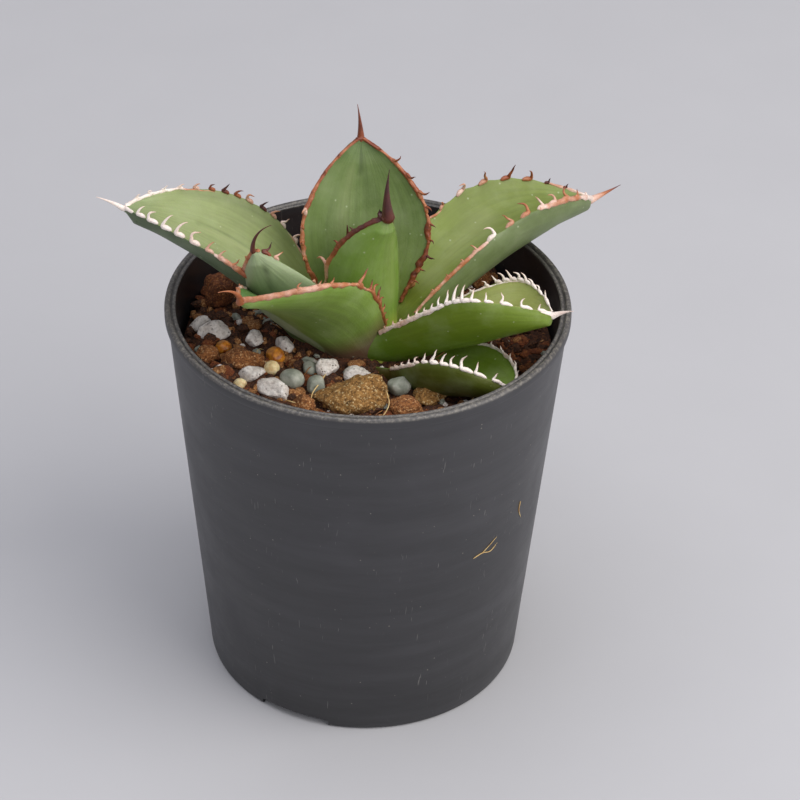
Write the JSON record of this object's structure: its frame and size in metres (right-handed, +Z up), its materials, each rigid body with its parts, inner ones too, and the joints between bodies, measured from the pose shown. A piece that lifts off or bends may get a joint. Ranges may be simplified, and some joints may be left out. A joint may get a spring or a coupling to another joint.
{
  "type": "potted succulent plant",
  "caption": "Young agave rosette with thick guttered leaves, hooked horny margins and long tip spines, growing in a stony mix in a deep round tapered nursery pot.",
  "frame": {"origin": "centre of the overall footprint on the surface the pot stands on, 0.46 mm to the -X side of the pot's axis", "axes": "+Z up along the pot's axis; the pictured side faces -Y, so +X is to its right and the rosette's two longest leaves point to -X and to +X with +Y"},
  "size_m": [0.1164, 0.09, 0.134],
  "materials": {
    "pot_plastic": "charcoal black injection-moulded plastic, satin with scuffs and dust",
    "soil_mix": "crumbly dark brown bark and baked-clay mix, dull",
    "stem_tissue": "pale green fleshy stem, matt",
    "leaf_flesh": "grey-green succulent skin with a matt waxy bloom, yellow-green to the foot",
    "horn_brown": "dry red-brown horn, slightly glossy",
    "horn_cream": "dry cream-white horn, browning to the foot",
    "horn_maroon": "dark maroon horn, satin",
    "pumice": "off-white porous pumice, rough",
    "amber_bead": "amber coated fertiliser bead, satin",
    "cream_bead": "pale cream fertiliser bead, dull",
    "brown_lump": "tan baked-clay granule, rough",
    "gold_lump": "gold-brown baked-clay granule with a mossy crust, rough",
    "dark_lump": "dark red-brown granule, rough",
    "grey_pebble": "green-grey zeolite pebble, smooth and dull"
  },
  "bodies": {
    "root": {"pot": "pot_plastic", "stem": "stem_tissue", "leaf_front_left": "leaf_flesh", "leaf_front_left_horn": "horn_brown", "leaf_front_right": "leaf_flesh", "leaf_front_right_horn": "horn_cream", "leaf_low_right": "leaf_flesh", "leaf_low_right_horn": "horn_cream", "leaf_left_inner": "leaf_flesh", "leaf_left_inner_horn": "horn_brown", "leaf_centre": "leaf_flesh", "leaf_centre_horn": "horn_maroon", "leaf_left": "leaf_flesh", "leaf_left_horn": "horn_cream", "leaf_right": "leaf_flesh", "leaf_right_horn": "horn_brown", "leaf_back": "leaf_flesh", "leaf_back_horn": "horn_brown", "bud": "leaf_flesh", "bud_spine": "horn_maroon", "pumice_1": "pumice", "pumice_2": "pumice", "pumice_3": "pumice", "pumice_4": "pumice", "pumice_5": "pumice", "pumice_6": "pumice", "pumice_7": "pumice", "pumice_8": "pumice", "amber_bead_1": "amber_bead", "amber_bead_2": "amber_bead", "cream_bead_1": "cream_bead", "cream_bead_2": "cream_bead", "brown_lump_1": "brown_lump", "brown_lump_2": "brown_lump", "brown_lump_3": "brown_lump", "gold_lump_1": "gold_lump", "brown_lump_4": "brown_lump", "gold_lump_2": "gold_lump", "dark_lump_1": "dark_lump", "dark_lump_2": "dark_lump", "dark_lump_3": "dark_lump", "brown_lump_5": "brown_lump", "brown_lump_6": "brown_lump", "pumice_9": "pumice", "pumice_10": "pumice", "grey_pebble_1": "grey_pebble", "grey_pebble_2": "grey_pebble", "grey_pebble_3": "grey_pebble", "grey_pebble_4": "grey_pebble", "soil": "soil_mix"}
  },
  "joints": []
}
